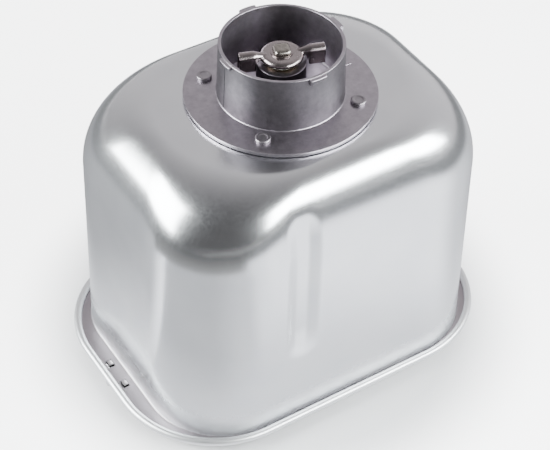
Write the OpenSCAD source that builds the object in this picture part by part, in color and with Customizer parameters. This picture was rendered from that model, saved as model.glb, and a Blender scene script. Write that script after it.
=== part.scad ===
// Baking pan of a bread machine, standing mouth down on its rim, with its drive collar on top.
// Origin: middle of the footprint, on the drive axis. X runs along the long side, +Z towards the collar.

/* [Pan] */
// Outside length of the walls at the rim
pan_len = 184; // [170:1:225]
// Outside width of the walls at the rim
pan_wid = 141; // [132:1:170]
// Height from the rim face to the outside of the base
pan_h = 149.4; // [120:0.1:190]
// Thickness of the drawn sheet
sheet = 1; // [0.8:0.1:1.4]
// Corner radius of the walls at the rim
corner_r = 41.5; // [34:0.5:46]
// Corner radius of the walls where the base rounding starts
corner_r_top = 45; // [38:0.5:48]
// How far each wall leans in over the height
draft = 0.6; // [0.2:0.1:1.5]
// Reach of the base rounding across the short sides
edge_x = 28; // [22:0.5:32]
// Reach of the base rounding across the long sides
edge_y = 20; // [16:0.5:22]
// Height of the base rounding
edge_z = 40; // [30:0.5:46]
/* [Rim] */
// Width of the flange and bead on each short side
rim_end = 13; // [11:0.5:16]
// Width of the flange and bead on each long side
rim_side = 5.5; // [5:0.1:7]
// Corner radius of the rim
rim_r = 55; // [48:0.5:60]
// Diameter of the wire that stiffens the bead
rim_wire_d = 2; // [1.6:0.1:2.4]
// Radius between wall and flange
fillet_r = 2; // [1.5:0.1:2.5]
/* [Groove] */
// Distance of each pressed groove from the middle of its long wall
groove_x = 29; // [20:1:32]
// Width of a groove
groove_w = 19; // [14:1:22]
// Depth of a groove
groove_depth = 2.9; // [1.5:0.1:3.4]
// Width of each sloping side of a groove
groove_side = 6.5; // [5:0.1:7]
// Height of a groove's lower end above the rim face
groove_low = 42; // [30:1:60]
// Height over which a groove fades in at its lower end
groove_fade = 9; // [6:1:14]
// Share of the base rounding's height left plain above each groove
groove_top = 0.25; // [0.15:0.05:0.4]
// Share of that height over which a groove fades out
groove_out = 0.5; // [0.3:0.05:0.6]
/* [Drive base] */
// Width of the cast flange outside the collar
flange_w = 16.2; // [14:0.1:17]
// Thickness of the cast flange
flange_t = 2; // [1.6:0.1:3]
// Thickness of the gasket under it
gasket_t = 0.5; // [0.4:0.1:1]
// Outside diameter of the collar where it meets the flange
collar_d = 62.6; // [60:0.1:68]
// How far the collar's outside leans in over its height
collar_taper = 0.9; // [0.5:0.1:1.5]
// Height of the collar above the flange
collar_h = 28.9; // [26:0.1:36]
// Wall of the collar
collar_t = 1.6; // [1.4:0.1:2.2]
// How far each bayonet lug stands out
lug_out = 2; // [1.5:0.1:2.5]
// Length of a bayonet lug round the collar
lug_len = 8.5; // [6:0.5:12]
// Height of a bayonet lug
lug_h = 3; // [2:0.1:4]
// Diameter of the bearing boss
boss_d = 24; // [22:0.5:28]
// Height of the bearing boss above the flange
boss_h = 17.3; // [16:0.1:18]
// Diameter of the spigot that passes the pan base
spigot_d = 26; // [24:0.5:30]
// How far the spigot stands into the pan
spigot_in = 3; // [2:0.1:4]
/* [Rivets] */
// Distance of each rivet's middle from the flange's edge
rivet_inset = 9.2; // [8:0.1:10]
// Shank diameter of a rivet
rivet_d = 5; // [4:0.1:5.5]
// Outer head diameter
rivet_head_d = 7.6; // [7:0.1:9]
// Outer head height
rivet_head_h = 1.8; // [1.2:0.1:2.2]
// Inner head diameter
rivet_inner_d = 9; // [8:0.1:10]
// Inner head height
rivet_inner_h = 1.2; // [0.8:0.1:1.6]
/* [Shaft and seal] */
// Diameter of the drive shaft
shaft_d = 8; // [7:0.1:9]
// Length of the paddle end inside the pan
paddle_end = 27; // [20:0.5:34]
// Depth of the flat on the paddle end
flat_depth = 0.8; // [0.5:0.1:0.9]
// Outside diameter of the bushes
bush_d = 13; // [12:0.5:14]
// Length of each bush
bush_len = 7; // [4:0.5:7]
// Collar diameter of the upper bush
bush_flange_d = 17; // [15:0.5:19]
// Thickness of the bush collar
bush_flange_t = 1; // [0.8:0.1:1.4]
// Outside diameter of the lip seal
seal_d = 19; // [18:0.5:20]
// Height of the lip seal
seal_h = 5; // [4:0.5:5.5]
// Wall of the seal cap
cap_t = 0.8; // [0.6:0.1:1]
// Thickness of each thrust washer
thrust_t = 0.8; // [0.5:0.1:1]
// Outside diameter of the circlip
clip_d = 13; // [11:0.5:14]
// Thickness of the circlip
clip_t = 0.8; // [0.6:0.1:1]
// Depth of the circlip's groove
groove_cut = 0.7; // [0.5:0.1:0.8]
/* [Coupling] */
// Height of the coupling's top face above the flange
coupling_h = 23.1; // [22.6:0.1:25]
// Diameter of the coupling's disc
disc_d = 21.2; // [20:0.1:26]
// Sheet thickness of the coupling
coupling_t = 1.2; // [1:0.1:1.4]
// Radius of the rolled edge of the disc
disc_roll = 2.6; // [2:0.1:2.8]
// Room between the boss and the inside of the wings
boss_room = 0.8; // [0.6:0.1:1.2]
// Distance between the tips of the wings
wing_span = 42; // [38:0.5:46]
// Width of a wing
wing_w = 5.6; // [5:0.1:7]
// How far the wings stand above the disc
wing_up = 2; // [1:0.1:2.4]
// Height of a wing from its crown to its lower edge
wing_h = 9.8; // [8:0.1:10]
// Turn of the wings from the X axis
wing_turn = -19; // [-45:1:45]
// Length of the shaft's squared tip above the disc
tip_h = 2.8; // [2:0.1:3.4]
// Thickness of the washer under the tip
washer_t = 0.5; // [0.4:0.1:1]
// How much thinner, on the radius, the shaft's neck is than the shaft
neck_step = 0.6; // [0.4:0.1:1]
// How far the corners of the squared tip stand out of the shaft's radius
tip_corner = 0.9; // [0.5:0.1:1.2]
// Wall of the spacer sleeve under the coupling
spacer_t = 1.8; // [1.2:0.1:2.4]
// Width of the washer's ring outside the shaft's radius
washer_w = 1.5; // [1:0.1:2]
/* [Handle] */
// Diameter of the handle wire
bail_d = 3.6; // [3:0.1:4]
// Bend radius of the handle at its corners
bail_corner = 48; // [40:1:52]
// How far the handle stays inside the rim's outline
bail_inset = 6.7; // [6.5:0.1:8]
// How far each handle tip stays inside the rim's edge
tip_in = 1.2; // [0.4:0.1:2]
// How much wider the bend at the pivot is than the wire
elbow_gap = 0.8; // [0.6:0.1:1.2]
// Distance from the pivot over which the handle bends down to its rest height
bail_run = 14; // [12:1:20]
// Thickness of a handle bracket
bracket_t = 1; // [0.8:0.1:1.4]
// Length of a bracket along the rim
bracket_len = 26; // [24:1:32]
// Width of the pivot lug of a bracket
pivot_w = 10; // [8:1:14]
// Thickness of the pivot lug
lug_t = 1.6; // [1.2:0.1:2]
// Distance between the two slots on a short side
slot_gap = 16; // [14.5:0.5:18]
// Length of a slot along the rim
slot_len = 5; // [4:0.5:6]
// Width of a slot across the rim
slot_wid = 4; // [3:0.5:4.5]
// How much smaller than its slot a bracket's tab is
tab_short = 0.8; // [0.4:0.1:1.2]
// How far a tab stands out of its slot
tab_up = 0.45; // [0.2:0.05:0.8]
/* [Clearances] */
// Radial clearance of the turning fits
run_gap = 0.04; // [0.02:0.01:0.08]
// Radial clearance of the fixed fits
seat_gap = 0.05; // [0.02:0.01:0.1]
// Gap between pieces that move past each other
free_gap = 0.3; // [0.3:0.05:0.6]

/* [Hidden] */
$fn = 64;

// Heights, from the floor up
bail_r = bail_d/2;
pivot_r = bail_r + run_gap;
pivot_z = bracket_t + pivot_r;
rim_z = pivot_z + bail_r + free_gap + bracket_t;
base_z = rim_z + pan_h;
inner_z = base_z - sheet;
seat_z = base_z + gasket_t;
flange_z = seat_z + flange_t;
boss_z = flange_z + boss_h;
top_z = flange_z + collar_h;
spigot_z = inner_z - spigot_in;
disc_z = flange_z + coupling_h;
tip_z = disc_z + tip_h;
wing_top_z = disc_z + wing_up;

// Sizes of the drive base
collar_top_d = collar_d - 2*collar_taper;
flange_d = collar_d + 2*flange_w;
rivet_pcd = flange_d - 2*rivet_inset;

// Half sizes of the rim and the bead
rim_x = pan_len/2 + rim_end;
rim_y = pan_wid/2 + rim_side;
bead_r = rim_wire_d/2 + seat_gap + sheet;
bead_x = rim_x - bead_r;
bead_y = rim_y - bead_r;
bead_z = rim_z + bead_r;
bead_corner = rim_r - bead_r;

// Sizes of the pivoted handle
arm_x = rim_x - bail_inset - bail_r;
bail_y = rim_y - bead_r - bail_r;
bail_low = bail_r;
elbow_r = bail_r + elbow_gap;
lug_x0 = arm_x + elbow_r + free_gap;
lug_x1 = lug_x0 + lug_t;
slot_x = (pan_len/2 + fillet_r + rim_x - 2*bead_r)/2;
plate_x0 = slot_x - slot_wid/2 - 1;

// Sizes round the shaft
shaft_r = shaft_d/2;
bore_r = shaft_r + run_gap;
bush_r = bush_d/2;
pocket_r = bush_r + seat_gap;
seal_r = seal_d/2;
cap_r = spigot_d/2 + seat_gap + cap_t;
cap_z = spigot_z - cap_t;
thrust_z = cap_z - thrust_t;
clip_z = thrust_z - free_gap - clip_t;
shaft_low = clip_z - paddle_end;
bush_top_z = boss_z + bush_flange_t;
outer_thrust_z = bush_top_z + free_gap/3;
spacer_z = outer_thrust_z + thrust_t;
spacer_top = disc_z - coupling_t;
neck_r = shaft_r - neck_step;

// A ring of points round a rounded oblong of half sizes hx and hy, with corner radius r
CORNER_STEPS = 6;
FRONT = [-1, -0.66, -0.36, -0.1, 0.1, 0.22, 0.32, 0.41, 0.50, 0.57, 0.64, 0.71, 0.78, 0.86];
function side_points(hx, hy, r) = [for (f = FRONT) [f*(hx - r), hy]];
function corner_points(hx, hy, r, a) = [for (i = [0:CORNER_STEPS])
    let (b = a + 90*i/CORNER_STEPS)
    [sign(cos(a + 45))*(hx - r) + r*cos(b), sign(sin(a + 45))*(hy - r) + r*sin(b)]];
function flip(list) = [for (p = list) [-p[0], -p[1]]];
function half_outline(hx, hy, r) = concat(
    corner_points(hx, hy, r, 0),
    [for (i = [len(FRONT) - 1:-1:0]) side_points(hx, hy, r)[i]],
    [for (i = [1:CORNER_STEPS]) corner_points(hx, hy, r, 90)[i]]);
function outline(hx, hy, r) = concat(half_outline(hx, hy, r), flip(half_outline(hx, hy, r)));

// How deep the grooves press in the walls at one point: flat with sloping sides, faded at both ends
function ramp(t) = min(1, max(0, t));
function ease(t) = ramp(t)*ramp(t)*(3 - 2*ramp(t));
function groove_at(p, z) = let (
    inside = groove_w/2 - abs(abs(p[0]) - groove_x),
    near = (p[0]*p[1] > 0) ? ramp(inside/groove_side) : 0,
    low = ease((z - rim_z - groove_low)/groove_fade),
    high = ease((base_z - edge_z*groove_top - z)/(edge_z*groove_out)))
    groove_depth*near*low*high;

// One level of the pan wall: a ring inset from the outside, with the grooves pressed in
function level(hx, hy, r, z) = [for (p = outline(hx, hy, r))
    [p[0], p[1] - sign(p[1])*groove_at(p, z), z]];
function lean(z) = draft*(z - rim_z)/pan_h;
function wall_r_at(z) = corner_r + (corner_r_top - corner_r)*(z - rim_z)/(pan_h - edge_z);
// The wall at height z, moved in by t
function wall_level(z, t) = level(pan_len/2 - lean(z) - t, pan_wid/2 - lean(z) - t,
    wall_r_at(z) - t, z);
// The base rounding at angle a, moved in by t
floor_r = min(pan_wid/2 - draft - edge_y, 50) - 0.2;
function edge_level(a, t) = let (
    k = 1 - cos(a),
    z = base_z - edge_z + (edge_z - t)*sin(a))
    level(pan_len/2 - lean(z) - t - (edge_x - t)*k, pan_wid/2 - lean(z) - t - (edge_y - t)*k,
        corner_r_top - t + (floor_r - corner_r_top + t)*k, z);
// A level of the flange, a share s of the way from the wall to the bead's middle line
function rim_level(s, z, out) = level(
    pan_len/2 + (bead_x - pan_len/2)*s + out,
    pan_wid/2 + (bead_y - pan_wid/2)*s + out,
    corner_r + (bead_corner - corner_r)*s + out, z);
function curl(r, a) = rim_level(1, bead_z + r*sin(a), r*cos(a));

WALL_Z = [for (k = [0:9]) base_z - edge_z - k*(pan_h - edge_z - fillet_r - sheet - 4)/9];
EDGE_A = [90, 76, 62, 48, 34, 22, 11];
fillet_s = fillet_r/(bead_x - pan_len/2);
levels = concat(
    [for (a = EDGE_A) edge_level(a, 0)],
    [for (z = WALL_Z) wall_level(z, 0)],
    [for (b = [0:30:90]) rim_level(fillet_s*(1 - cos(b)), rim_z + sheet + fillet_r*(1 - sin(b)), 0)],
    [for (a = [-90:36:198]) curl(bead_r - sheet, a)],
    [for (a = [198:-32:-90]) curl(bead_r, a)],
    [for (b = [90:-30:0]) rim_level(fillet_s*(1 - cos(b)), rim_z + fillet_r*(1 - sin(b)), -sheet)],
    [for (k = [len(WALL_Z) - 1:-1:0]) wall_level(WALL_Z[k], sheet)],
    [for (k = [len(EDGE_A) - 1:-1:0]) edge_level(EDGE_A[k], sheet)]);

// Closes a stack of rings, all with the same number of points, into a solid
module loft(rings) {
    n = len(rings[0]);
    m = len(rings);
    polyhedron(
        points = [for (ring = rings) for (p = ring) p],
        faces = concat(
            [[for (i = [n - 1:-1:0]) i]],
            [for (j = [0:m - 2]) for (i = [0:n - 1])
                [j*n + i, j*n + (i + 1)%n, (j + 1)*n + (i + 1)%n]],
            [for (j = [0:m - 2]) for (i = [0:n - 1])
                [j*n + i, (j + 1)*n + (i + 1)%n, (j + 1)*n + i]],
            [[for (i = [0:n - 1]) (m - 1)*n + i]]));
}

// Repeats its children at the four rivets
module at_rivets() {
    for (a = [45:90:315])
        rotate([0, 0, a]) translate([rivet_pcd/2, 0, 0]) children();
}

// A flat ring
module ring(r_out, r_in, z0, z1) {
    difference() {
        translate([0, 0, z0]) cylinder(h = z1 - z0, r = r_out);
        translate([0, 0, z0 - 1]) cylinder(h = z1 - z0 + 2, r = r_in);
    }
}

module pan_shell() {
    color("silver") difference() {
        loft(levels);
        translate([0, 0, inner_z - 5]) cylinder(h = 10, r = spigot_d/2 + seat_gap);
        at_rivets() translate([0, 0, inner_z - 5]) cylinder(h = 10, r = rivet_d/2 + seat_gap);
        for (sx = [-1, 1]) for (sy = [-1, 1])
            translate([sx*slot_x - slot_wid/2, sy*slot_gap/2 - slot_len/2, rim_z - 2])
                cube([slot_wid, slot_len, sheet + 3]);
    }
}

// Wire inside the bead, a closed loop that follows the curl
module rim_wire() {
    rings = [for (a = [0:30:330]) curl(rim_wire_d/2, a)];
    n = len(rings[0]);
    m = len(rings);
    color("dimgray") polyhedron(
        points = [for (ring = rings) for (p = ring) p],
        faces = [for (j = [0:m - 1]) for (i = [0:n - 1]) for (half = [0, 1])
            let (p = j*n + i, q = j*n + (i + 1)%n, k = ((j + 1)%m)*n + i, l = ((j + 1)%m)*n + (i + 1)%n)
            half == 0 ? [p, l, q] : [p, k, l]]);
}

// One bayonet lug, a short piece of ring on the outside of the collar's mouth
module bayonet_lug() {
    half = lug_len/collar_top_d*180/PI;
    rotate([0, 0, -half]) rotate_extrude(angle = 2*half)
        translate([collar_top_d/2 - collar_t/2, top_z - lug_h])
            square([lug_out + collar_t/2, lug_h]);
}

// Flange, collar, boss and spigot in one casting
module drive_base() {
    color("darkgray") difference() {
        union() {
            rotate_extrude() polygon([
                [0, seat_z], [flange_d/2, seat_z], [flange_d/2, flange_z - 0.4],
                [flange_d/2 - 0.4, flange_z], [collar_d/2 + 1, flange_z], [collar_d/2, flange_z + 1],
                [collar_top_d/2, top_z], [collar_top_d/2 - collar_t, top_z],
                [collar_d/2 - collar_t, flange_z + 1], [collar_d/2 - collar_t - 1, flange_z],
                [boss_d/2 + 1, flange_z], [boss_d/2, flange_z + 1], [boss_d/2, boss_z],
                [0, boss_z]]);
            translate([0, 0, spigot_z]) cylinder(h = seat_z - spigot_z + 0.5, r = spigot_d/2);
            for (a = [0:90:270]) rotate([0, 0, a]) bayonet_lug();
        }
        translate([0, 0, spigot_z - 1]) cylinder(h = boss_z - spigot_z + 2, r = pocket_r);
        translate([0, 0, spigot_z - 1]) cylinder(h = seal_h + 1, r = seal_r + seat_gap);
        at_rivets() translate([0, 0, seat_z - 1]) cylinder(h = flange_t + 2, r = rivet_d/2 + seat_gap);
    }
}

module base_gasket() {
    color("black") difference() {
        ring(flange_d/2 - 1, spigot_d/2 + seat_gap, base_z, seat_z);
        at_rivets() translate([0, 0, base_z - 1]) cylinder(h = gasket_t + 2, r = rivet_d/2 + seat_gap);
    }
}

// Four rivets through pan, gasket and flange, with a shallow dish in each outer head
module base_rivets() {
    color("lightgray") at_rivets() difference() {
        rotate_extrude() polygon([
            [0, inner_z - rivet_inner_h], [rivet_inner_d/2 - 0.8, inner_z - rivet_inner_h],
            [rivet_inner_d/2, inner_z - 0.3], [rivet_inner_d/2, inner_z], [rivet_d/2, inner_z],
            [rivet_d/2, flange_z], [rivet_head_d/2, flange_z],
            [rivet_head_d/2, flange_z + rivet_head_h - 0.4],
            [rivet_head_d/2 - 0.4, flange_z + rivet_head_h], [0, flange_z + rivet_head_h]]);
        translate([0, 0, flange_z + rivet_head_h - 0.3]) cylinder(h = 1, r = rivet_head_d/4);
    }
}

// Plain bush on the pan side
module upper_bush() {
    z0 = spigot_z + seal_h + 0.5;
    color("peru") ring(bush_r, bore_r, z0, z0 + bush_len);
}

// Bush with a collar on the coupling side
module lower_bush() {
    color("peru") difference() {
        union() {
            translate([0, 0, boss_z - bush_len]) cylinder(h = bush_len + 0.2, r = bush_r);
            translate([0, 0, boss_z]) cylinder(h = bush_flange_t, r = bush_flange_d/2);
        }
        translate([0, 0, boss_z - bush_len - 1]) cylinder(h = bush_len + 4, r = bore_r);
    }
}

// Lip seal: an outer ring with a web and a thinner lip round the shaft
module shaft_seal() {
    color("firebrick") translate([0, 0, spigot_z]) rotate_extrude() polygon([
        [bore_r, 0.8], [bore_r + 1, 0.2], [bore_r + 1.4, 2.6], [seal_r - 1.4, 2.6], [seal_r - 1.4, 0],
        [seal_r, 0], [seal_r, seal_h], [bore_r + 0.6, seal_h], [bore_r + 0.6, 3.4]]);
}

// Garter spring round the lip of the seal
module seal_spring() {
    color("gray") translate([0, 0, spigot_z + 1.5]) rotate_extrude()
        translate([bore_r + 1.9, 0]) circle(r = 0.5, $fn = 24);
}

// Pressed cap that keeps the seal in the spigot
module seal_cap() {
    color("gainsboro") difference() {
        translate([0, 0, cap_z]) cylinder(h = cap_t + spigot_in - 0.2, r = cap_r);
        translate([0, 0, spigot_z]) cylinder(h = spigot_in + 1, r = cap_r - cap_t);
        translate([0, 0, cap_z - 1]) cylinder(h = 3, r = shaft_r + free_gap);
    }
}

module inner_thrust_washer() {
    color("white") ring(clip_d/2 + 1, bore_r, thrust_z - free_gap/3, cap_z - free_gap/3);
}

module outer_thrust_washer() {
    color("white") ring(bush_flange_d/2 - 0.5, bore_r, outer_thrust_z, outer_thrust_z + thrust_t);
}

// Spring clip in the shaft's groove, open on one side
module shaft_circlip() {
    color("slategray") difference() {
        ring(clip_d/2, shaft_r - groove_cut + seat_gap, clip_z, clip_z + clip_t);
        translate([0, -1.5, clip_z - 1]) cube([clip_d, 3, clip_t + 2]);
    }
}

// Shaft with a flat on its paddle end, a clip groove, and a necked and squared tip
module drive_shaft() {
    color("silver") difference() {
        union() {
            translate([0, 0, shaft_low]) cylinder(h = spacer_top - shaft_low, r = shaft_r);
            translate([0, 0, spacer_top - 0.5]) cylinder(h = tip_z - spacer_top - 0.5, r = neck_r);
            translate([0, 0, disc_z + washer_t]) intersection() {
                rotate([0, 0, wing_turn]) translate([-shaft_r, -shaft_r, 0])
                    cube([2*shaft_r, 2*shaft_r, tip_z - disc_z - washer_t]);
                cylinder(h = tip_z, r = shaft_r + tip_corner);
            }
        }
        translate([shaft_r - flat_depth, -shaft_d, shaft_low - 1])
            cube([shaft_d, 2*shaft_d, paddle_end - 3]);
        ring(shaft_r + 1, shaft_r - groove_cut, clip_z - seat_gap, clip_z + clip_t + seat_gap);
    }
}

// Cross-section of a wing: a round-topped channel, open below
module wing_section(grow) {
    r = wing_w/2 - coupling_t*grow;
    union() {
        translate([0, -wing_w/2]) circle(r = r);
        translate([-r, -wing_h - grow]) square([2*r, wing_h + grow - wing_w/2]);
    }
}

// Points of one side of the disc's rolled edge, radius k about the roll's middle
function roll_arc(r, k, angles) = [for (a = angles)
    [r - disc_roll + k*cos(a), disc_z - disc_roll + k*sin(a)]];

// Pressed coupling: a disc with a rolled edge and two channel-shaped wings
module wing_coupling() {
    r = disc_d/2;
    root = r - 1.5;
    color("lightsteelblue") rotate([0, 0, wing_turn]) difference() {
        union() {
            rotate_extrude() polygon(concat(
                [[0, disc_z - coupling_t], [0, disc_z]],
                roll_arc(r, disc_roll, [90:-15:0]),
                roll_arc(r, disc_roll - coupling_t, [0:15:90])));
            for (s = [0, 180]) rotate([0, 0, s]) translate([root, 0, wing_top_z]) rotate([90, 0, 90])
                linear_extrude(height = wing_span/2 - root) wing_section(0);
        }
        for (s = [0, 180]) rotate([0, 0, s]) translate([root + coupling_t, 0, wing_top_z])
            rotate([90, 0, 90]) linear_extrude(height = wing_span/2 - root) wing_section(1);
        translate([0, 0, disc_z - 5]) cylinder(h = 10, r = neck_r + seat_gap);
        translate([0, 0, boss_z - wing_h])
            cylinder(h = disc_z - disc_roll - boss_z + wing_h, r = boss_d/2 + boss_room);
    }
}

// Spacer sleeve that lifts the coupling off the bush
module coupling_spacer() {
    color("gray") ring(shaft_r + spacer_t, shaft_r + seat_gap, spacer_z, spacer_top);
}

// Washer under the squared tip
module coupling_washer() {
    color("gainsboro") ring(shaft_r + washer_w, neck_r + seat_gap, disc_z, disc_z + washer_t);
}

// Half of the handle's route, from the pivot along the rim and round one corner
arm_y = bail_y - bail_corner;
function bail_height(y) = pivot_z - (pivot_z - bail_low)*ease((y - elbow_r)/(bail_run - elbow_r));
function bend(cx, cy, r, from, to, steps) = [for (i = [0:steps])
    let (a = from + (to - from)*i/steps) [cx + r*cos(a), cy + r*sin(a)]];
bail_half = concat(
    bend(arm_x + elbow_r, elbow_r, elbow_r, 270, 180, 4),
    [for (i = [1:4]) [arm_x, elbow_r + (bail_run - elbow_r)*i/4]],
    bend(arm_x - bail_corner, arm_y, bail_corner, 0, 90, 8));
bail_route = concat(
    [for (p = bail_half) [p[0], p[1], bail_height(p[1])]],
    [for (i = [len(bail_half) - 1:-1:0]) let (p = bail_half[i]) [-p[0], p[1], bail_height(p[1])]]);

// Sweeps a circle of radius r along a route that stays nearly level
module tube(route, r) {
    sides = 12;
    last = len(route) - 1;
    loft([for (i = [0:last])
        let (d = route[min(i + 1, last)] - route[max(i - 1, 0)], n = [d[1], -d[0], 0]/norm([d[0], d[1]]))
        [for (k = [0:sides - 1]) route[i] + r*cos(360*k/sides)*n + [0, 0, r*sin(360*k/sides)]]]);
}

module handle_bail() {
    color("silver") {
        tube(bail_route, bail_r);
        for (s = [-1, 1])
            translate([s*(arm_x + elbow_r - 0.4), 0, pivot_z]) rotate([0, s*90, 0])
                cylinder(h = rim_x - tip_in - arm_x - elbow_r + 0.4, r = bail_r);
    }
}

// Bracket at the end with X sign s: a plate under the flange, two peened tabs and the pivot lug
module handle_bracket(s) {
    plate_z = rim_z - bracket_t;
    color("gainsboro") mirror([s < 0 ? 1 : 0, 0, 0]) {
        difference() {
            union() {
                translate([plate_x0, -bracket_len/2, plate_z])
                    cube([lug_x1 - plate_x0, bracket_len, bracket_t]);
                translate([lug_x0, 0, 0]) rotate([90, 0, 90]) linear_extrude(height = lug_x1 - lug_x0)
                    polygon([
                        [-pivot_w/2 + 1, 0], [pivot_w/2 - 1, 0], [pivot_w/2, 1], [pivot_w/2, plate_z + 0.2],
                        [-pivot_w/2, plate_z + 0.2], [-pivot_w/2, 1]]);
            }
            translate([lug_x0 - 1, 0, pivot_z]) rotate([0, 90, 0])
                cylinder(h = lug_x1 - lug_x0 + 2, r = pivot_r);
        }
        for (sy = [-1, 1])
            translate([slot_x - slot_wid/2 + free_gap,
                    sy*slot_gap/2 - slot_len/2 + free_gap + tab_short, rim_z - bracket_t/2])
                cube([slot_wid - 2*free_gap - tab_short, slot_len - 2*free_gap - tab_short,
                    bracket_t/2 + sheet + tab_up]);
    }
}

module bracket_left() { handle_bracket(-1); }
module bracket_right() { handle_bracket(1); }

pan_shell();
rim_wire();
drive_base();
base_gasket();
base_rivets();
upper_bush();
lower_bush();
shaft_seal();
seal_spring();
seal_cap();
inner_thrust_washer();
outer_thrust_washer();
shaft_circlip();
drive_shaft();
wing_coupling();
coupling_spacer();
coupling_washer();
handle_bail();
bracket_left();
bracket_right();
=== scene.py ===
import math

import bmesh
import bpy
import numpy as np
from mathutils import Matrix, Vector


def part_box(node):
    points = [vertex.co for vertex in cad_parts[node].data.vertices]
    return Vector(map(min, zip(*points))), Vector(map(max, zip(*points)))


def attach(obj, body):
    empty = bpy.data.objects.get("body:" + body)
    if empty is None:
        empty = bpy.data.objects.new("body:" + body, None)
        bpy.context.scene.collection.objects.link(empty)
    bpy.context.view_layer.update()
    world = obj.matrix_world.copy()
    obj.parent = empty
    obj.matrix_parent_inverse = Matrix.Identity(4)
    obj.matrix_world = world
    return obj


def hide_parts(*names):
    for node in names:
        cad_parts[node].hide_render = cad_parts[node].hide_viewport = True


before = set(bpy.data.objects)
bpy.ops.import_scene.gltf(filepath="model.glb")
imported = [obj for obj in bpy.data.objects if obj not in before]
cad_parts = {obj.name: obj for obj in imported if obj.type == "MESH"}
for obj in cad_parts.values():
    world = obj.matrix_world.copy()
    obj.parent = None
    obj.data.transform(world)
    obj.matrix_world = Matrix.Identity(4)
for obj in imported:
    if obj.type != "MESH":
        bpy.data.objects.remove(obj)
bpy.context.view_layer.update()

# Every length below is in millimetres, and MM turns it into Blender's metres.
MM = 0.001


def corners(node):
    """The lowest and highest corner of a CAD node, in millimetres."""
    low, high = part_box(node)
    return np.array(low) / MM, np.array(high) / MM


def heights(node):
    """The lowest and highest level of a CAD node, in millimetres."""
    low, high = corners(node)
    return low[2], high[2]


# ---- Levels and outlines, taken from the frame ----
PAN_LOW, PAN_HIGH = corners("pan_shell")
RIM_Z, BASE_Z = PAN_LOW[2], PAN_HIGH[2]
RIM_X, RIM_Y = PAN_HIGH[0], PAN_HIGH[1]
SPIGOT_Z, TOP_Z = heights("drive_base")
FLANGE_R = corners("drive_base")[1][0]
SEAT_Z = heights("base_gasket")[1]
RIVET_LOW_Z = heights("base_rivets")[0]
DISC_Z, WASHER_TOP = heights("coupling_washer")
SHAFT_LOW_Z, TIP_Z = heights("drive_shaft")
CLIP_LOW, CLIP_HIGH = heights("shaft_circlip")
WING_LOW, WING_TOP = heights("wing_coupling")
BUSH_TOP = heights("lower_bush")[1]
BAIL_LOW_Z, BAIL_HIGH_Z = heights("handle_bail")
BAIL_END_X = corners("handle_bail")[1][0]
BRACKET_HALF = corners("bracket_right")[1][1]

# ---- Design values that the frame's boxes don't give ----
# Pan wall: sheet, half sizes and corner radii at the rim and where the base rounding starts
SHEET = 1.0
WALL_X, WALL_Y = 92.0, 70.5
CORNER_R, CORNER_R_TOP = 41.5, 45.0
DRAFT = 0.6
EDGE_X, EDGE_Y, EDGE_Z = 28.0, 20.0, 40.0
FLOOR_R = 49.7
# Rim: corner radius, bead, the CAD's fillet, and the tighter bend that the photo shows
RIM_R = 55.0
BEAD_R = 2.05
FILLET_R = 2.0
BEND_R = 1.2
GROOVE_X, GROOVE_W, GROOVE_DEPTH, GROOVE_SIDE, GROOVE_LOW = 29.0, 19.0, 2.9, 6.5, 42.0
SLOT_GAP, SLOT_LEN, SLOT_WID = 16.0, 5.0, 4.0
# Casting: collar at its foot and top, bayonet lugs, boss and spigot with their bores
COLLAR_R, COLLAR_TOP_R, COLLAR_T = 31.3, 30.4, 1.6
LUG_OUT, LUG_LEN, LUG_H = 2.0, 8.5, 3.0
BOSS_R, SPIGOT_R = 12.0, 13.0
BUSH_POCKET_R, SEAL_POCKET_R, SEAL_H = 6.55, 9.55, 5.0
FLANGE_T = 2.0
BUSH_COLLAR_T = 1.0
RIVET_PCD, RIVET_D, RIVET_HEAD_D, RIVET_HEAD_H, RIVET_INNER_D = 76.6, 5.0, 7.6, 1.8, 9.0
# Coupling and shaft
WING_TURN = math.radians(-19.0)
DISC_R, DISC_ROLL, COUPLING_T = 10.6, 2.6, 1.2
WING_SPAN = 42.0
SHAFT_R, NECK_R = 4.0, 3.4
CLIP_CUT, CLIP_PLAY = 0.7, 0.05
FLAT_DEPTH, FLAT_LEN = 0.8, 23.0
# Handle wire and its brackets
BAIL_R, BAIL_INSET, BAIL_CORNER, BAIL_RUN = 1.8, 6.7, 48.0, 14.0
BRACKET_T, LUG_T, PIVOT_HALF = 1.0, 1.6, 5.0
ELBOW_GAP, FREE_GAP, RUN_GAP = 0.8, 0.3, 0.04

FLANGE_Z = SEAT_Z + FLANGE_T
BOSS_TOP = BUSH_TOP - BUSH_COLLAR_T
PIVOT_Z = BAIL_HIGH_Z - BAIL_R
PAN_H = BASE_Z - RIM_Z
BEAD_X, BEAD_Y, BEAD_Z = RIM_X - BEAD_R, RIM_Y - BEAD_R, RIM_Z + BEAD_R
SLOT_X = (WALL_X + FILLET_R + RIM_X - 2 * BEAD_R) / 2


# ---- Mesh helpers ----
def mesh_object(name, points, faces, materials, picks=None, sharp=35):
    """A smooth-shaded object from points in millimetres. picks gives each face's material number."""
    mesh = bpy.data.meshes.new(name)
    mesh.from_pydata((np.asarray(points) * MM).tolist(), [], [list(map(int, f)) for f in faces])
    for material in materials:
        mesh.materials.append(material)
    if picks is not None:
        mesh.polygons.foreach_set("material_index", picks)
    mesh.validate()
    obj = bpy.data.objects.new(name, mesh)
    bpy.context.scene.collection.objects.link(obj)
    bm = bmesh.new()
    bm.from_mesh(mesh)
    bmesh.ops.recalc_face_normals(bm, faces=bm.faces)
    bm.to_mesh(mesh)
    bm.free()
    shade(obj, sharp)
    return obj


def shade(obj, sharp=35):
    """Smooth shading with edges sharper than the given angle left crisp."""
    obj.data.shade_smooth()
    obj.data.set_sharp_from_angle(angle=math.radians(sharp))


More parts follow.
